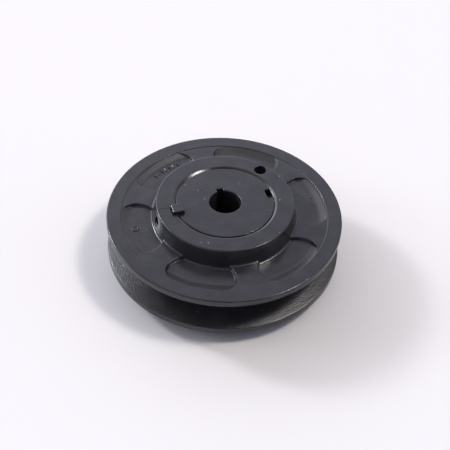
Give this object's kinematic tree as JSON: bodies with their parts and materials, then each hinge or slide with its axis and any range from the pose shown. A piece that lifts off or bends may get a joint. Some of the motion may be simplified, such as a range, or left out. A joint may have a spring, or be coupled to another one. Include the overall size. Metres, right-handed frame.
{
  "type": "v belt pulley",
  "caption": "Adjustable single-groove V-belt sheave: a fixed flange with a threaded hub, and a moving flange with a collar locked to it by a square key and socket setscrews.",
  "frame": {"origin": "on the shaft axis, in the plane of the back boss's end face, on which the pulley stands", "axes": "+Z along the shaft axis from the back boss towards the collar; +X is 19.6 degrees clockwise of the hub's spare keyway, seen from the collar side"},
  "size_m": [0.165, 0.165, 0.0554],
  "materials": {
    "casting_paint": "satin black paint over grey cast iron",
    "key_paint": "satin black paint over bright steel bar",
    "screw_steel": "black oxide"
  },
  "bodies": {
    "fixed": {"fixed_half": "casting_paint"},
    "moving": {"moving_half": "casting_paint"},
    "key": {"external_key": "key_paint"},
    "key_screw": {"key_setscrew": "screw_steel"},
    "lock_screw": {"locking_setscrew": "screw_steel"},
    "hub_screw": {"hub_setscrew": "screw_steel"}
  },
  "joints": [
    {"name": "pitch_travel", "type": "slide", "parent": "fixed", "child": "moving", "axis": [0, 0, 1], "range_m": [-0.00635, 0.00317]},
    {"name": "key_pull", "type": "slide", "parent": "moving", "child": "key", "axis": [0, 0, 1], "range_m": [0, 0.023]},
    {"name": "key_screw_travel", "type": "slide", "parent": "moving", "child": "key_screw", "axis": [-0.9421, -0.3355, 0], "range_m": [0, 0.01143]},
    {"name": "lock_screw_travel", "type": "slide", "parent": "moving", "child": "lock_screw", "axis": [0.9421, 0.3355, 0], "range_m": [0, 0.01905]},
    {"name": "hub_screw_travel", "type": "slide", "parent": "fixed", "child": "hub_screw", "axis": [-0.3355, 0.9421, 0], "range_m": [0, 0.01651]}
  ]
}
